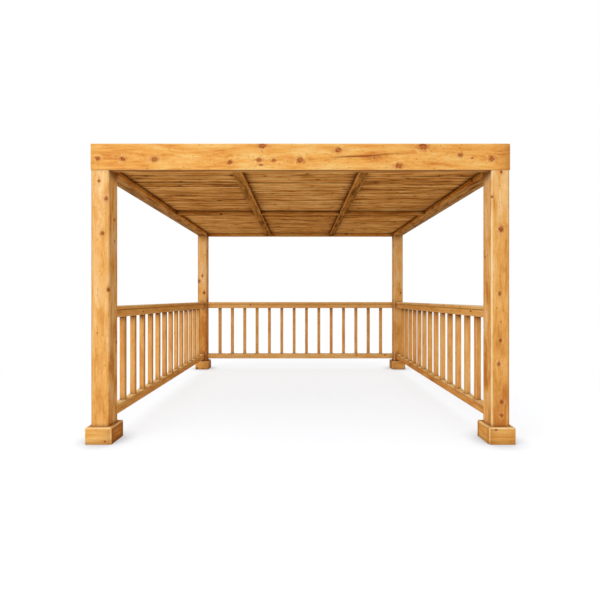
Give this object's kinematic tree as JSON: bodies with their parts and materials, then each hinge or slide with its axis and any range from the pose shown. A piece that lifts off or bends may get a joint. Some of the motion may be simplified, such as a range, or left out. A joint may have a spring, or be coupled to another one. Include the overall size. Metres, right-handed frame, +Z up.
{
  "type": "pergola",
  "caption": "Square timber pergola with four skirted posts, a ring of fascia beams, a flat boarded roof on rafters, balustrades on three sides and an open front",
  "frame": {"origin": "centre of the plan at ground level, under the middle of the floor area", "axes": "+Z is up, the open front faces -Y, +X is to the right of someone looking in from the front"},
  "size_m": [3.264, 3.264, 2.29],
  "materials": {
    "post_timber": "planed softwood with a honey stain",
    "skirt_timber": "planed softwood with a honey stain",
    "fascia_timber": "planed softwood with a honey stain",
    "roof_timber": "planed softwood with a brown stain",
    "roof_boards": "rough-sawn softwood with a brown stain",
    "rail_timber": "planed softwood with a honey stain",
    "baluster_timber": "planed softwood with a honey stain"
  },
  "bodies": {
    "root": {"post_front_left": "post_timber", "post_front_right": "post_timber", "post_rear_left": "post_timber", "post_rear_right": "post_timber", "skirt_faces_front_left": "skirt_timber", "skirt_faces_front_right": "skirt_timber", "skirt_faces_rear_left": "skirt_timber", "skirt_faces_rear_right": "skirt_timber", "skirt_sides_front_left": "skirt_timber", "skirt_sides_front_right": "skirt_timber", "skirt_sides_rear_left": "skirt_timber", "skirt_sides_rear_right": "skirt_timber", "fascia_front": "fascia_timber", "fascia_rear": "fascia_timber", "fascia_left": "fascia_timber", "fascia_right": "fascia_timber", "bearer_left": "roof_timber", "bearer_right": "roof_timber", "rafter_left": "roof_timber", "rafter_right": "roof_timber", "noggin_left": "roof_timber", "noggin_centre": "roof_timber", "noggin_right": "roof_timber", "roof_deck_left": "roof_boards", "roof_deck_centre": "roof_boards", "roof_deck_right": "roof_boards", "cap_rail_left": "rail_timber", "cap_rail_right": "rail_timber", "cap_rail_rear": "rail_timber", "handrail_left": "rail_timber", "handrail_right": "rail_timber", "handrail_rear": "rail_timber", "bottom_rail_left": "rail_timber", "bottom_rail_right": "rail_timber", "bottom_rail_rear": "rail_timber", "balusters_left": "baluster_timber", "balusters_right": "baluster_timber", "balusters_rear": "baluster_timber"}
  },
  "joints": []
}
